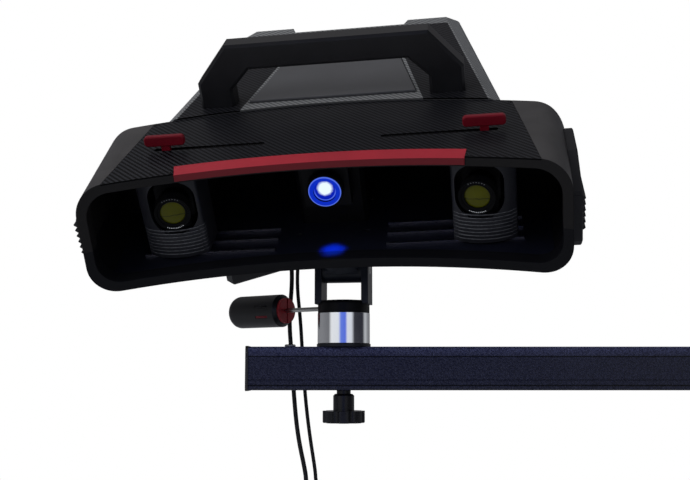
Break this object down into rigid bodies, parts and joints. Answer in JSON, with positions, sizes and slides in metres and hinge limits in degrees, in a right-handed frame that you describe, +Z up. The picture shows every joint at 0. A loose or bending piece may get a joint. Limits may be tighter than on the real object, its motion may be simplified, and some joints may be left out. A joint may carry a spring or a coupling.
{
  "type": "structured-light three-dimensional scanner",
  "caption": "Tilting scanner head with sliding camera turrets, a projector and a carrying handle, on a pan and tilt mount clamped to a horizontal arm.",
  "frame": {"origin": "middle of the vertical stud socket at the far end of the arm, on the middle plane of the arm", "axes": "+X along the arm away from the scanner, -Y the way the scanner looks, +Z up"},
  "size_m": [0.7245, 0.4336, 0.7478],
  "materials": {
    "hammered_paint": "hammered dark blue-grey paint",
    "dark_plastic": "satin dark grey plastic",
    "zinc_steel": "zinc plated steel",
    "dark_anodised": "dark anodised aluminium",
    "chromed": "polished chrome",
    "black_gloss": "glossy black moulded plastic",
    "crimson": "satin crimson plastic",
    "carbon_weave": "clear-coated diagonal carbon weave",
    "grey_satin": "satin mid grey plastic",
    "ribbed_rubber": "dark ribbed rubber",
    "turret_paint": "satin dark grey paint",
    "coated_glass": "coated lens glass",
    "rail_steel": "ground steel",
    "sink_aluminium": "natural aluminium",
    "board_green": "green solder mask",
    "fan_plastic": "black fan plastic",
    "cable_jacket": "black cable jacket"
  },
  "bodies": {
    "arm": {"arm_tube": "hammered_paint", "arm_end_caps": "dark_plastic", "arm_socket_bush": "zinc_steel", "arm_ring_screw": "zinc_steel", "base_ring": "dark_anodised", "base_cylinder": "chromed"},
    "clamp_knob": {"clamp_stud": "zinc_steel", "star_knob": "black_gloss"},
    "pan_head": {"collar": "dark_anodised", "pan_spindle": "zinc_steel", "yoke": "dark_anodised", "tilt_axle": "zinc_steel"},
    "lock_lever": {"lever_rod": "zinc_steel", "lever_grip": "black_gloss", "lever_cap": "crimson"},
    "tilt_head": {"tilt_block": "dark_anodised", "head_stud": "zinc_steel"},
    "scanner": {"mount_shoe": "dark_anodised", "housing_screws": "zinc_steel", "hood_upper_shell": "dark_plastic", "hood_lower_shell": "dark_plastic", "carbon_top_panel": "carbon_weave", "red_front_strip": "crimson", "side_pad_left": "ribbed_rubber", "side_pad_right": "ribbed_rubber", "chassis_upper_shell": "dark_plastic", "chassis_lower_shell": "dark_plastic", "chassis_side_panels": "carbon_weave", "centre_slab": "grey_satin", "handle": "dark_plastic", "rear_panel": "dark_plastic", "guide_rails": "rail_steel", "optical_bench": "dark_anodised", "projector_housing": "dark_plastic", "projector_barrel": "black_gloss", "projector_glass": "coated_glass", "led_module": "sink_aluminium", "control_board": "board_green", "fan_frame": "fan_plastic", "cable_duct": "dark_plastic"},
    "power_switch": {"power_switch": "dark_plastic"},
    "fan_rotor": {"fan_rotor": "fan_plastic"},
    "left_carriage": {"turret_left": "turret_paint", "slide_knob_left": "crimson", "camera_body_left": "turret_paint", "lens_barrel_left": "black_gloss", "lens_glass_left": "coated_glass"},
    "right_carriage": {"turret_right": "turret_paint", "slide_knob_right": "crimson", "camera_body_right": "turret_paint", "lens_barrel_right": "black_gloss", "lens_glass_right": "coated_glass"},
    "cables": {"cable_boots": "ribbed_rubber", "data_cable": "cable_jacket", "power_cable": "cable_jacket", "data_cable_coil": "cable_jacket", "power_cable_coil": "cable_jacket", "data_plug": "cable_jacket", "power_plug": "cable_jacket"}
  },
  "joints": [
    {"name": "clamp_knob_turn", "type": "hinge", "parent": "arm", "child": "clamp_knob", "pos_m": [-0.42, 0, 0], "axis": [0, 0, 1], "continuous": true},
    {"name": "pan", "type": "hinge", "parent": "arm", "child": "pan_head", "pos_m": [-0.42, 0, 0.07], "axis": [0, 0, 1], "range_deg": [-60, 30]},
    {"name": "lock_lever_twist", "type": "hinge", "parent": "pan_head", "child": "lock_lever", "pos_m": [-0.42, 0, 0.0669], "axis": [-0.809, 0.5878, 0], "range_deg": [-150, 0]},
    {"name": "tilt", "type": "hinge", "parent": "pan_head", "child": "tilt_head", "pos_m": [-0.42, 0, 0.1092], "axis": [0.9842, -0.1771, 0], "range_deg": [-64, 3]},
    {"name": "swivel", "type": "hinge", "parent": "tilt_head", "child": "scanner", "pos_m": [-0.42192, -0.01065, 0.12257], "axis": [-0.1114, -0.6194, 0.7771], "range_deg": [-12.8, 7.2]},
    {"name": "left_camera_slide", "type": "slide", "parent": "scanner", "child": "left_carriage", "axis": [0.9897, -0.1395, 0.0307], "range_m": [-0.007, 0.095]},
    {"name": "right_camera_slide", "type": "slide", "parent": "scanner", "child": "right_carriage", "axis": [-0.9897, 0.1395, -0.0307], "range_m": [-0.007, 0.095]},
    {"name": "power_switch_rock", "type": "hinge", "parent": "scanner", "child": "power_switch", "pos_m": [-0.442, 0.17391, 0.37075], "axis": [0.9897, -0.1395, 0.0307], "range_deg": [0, 14]},
    {"name": "fan_spin", "type": "hinge", "parent": "scanner", "child": "fan_rotor", "pos_m": [-0.37962, 0.14613, 0.38329], "axis": [0.0894, 0.7726, 0.6286], "continuous": true},
    {"name": "cable_hang", "type": "hinge", "parent": "scanner", "child": "cables", "pos_m": [-0.47949, 0.0901, 0.22137], "axis": [0.9897, -0.1395, 0.0307], "range_deg": [-8, 70]}
  ],
  "couplings": [
    {"joint": "cable_hang", "follows": "tilt", "ratio": -1}
  ]
}
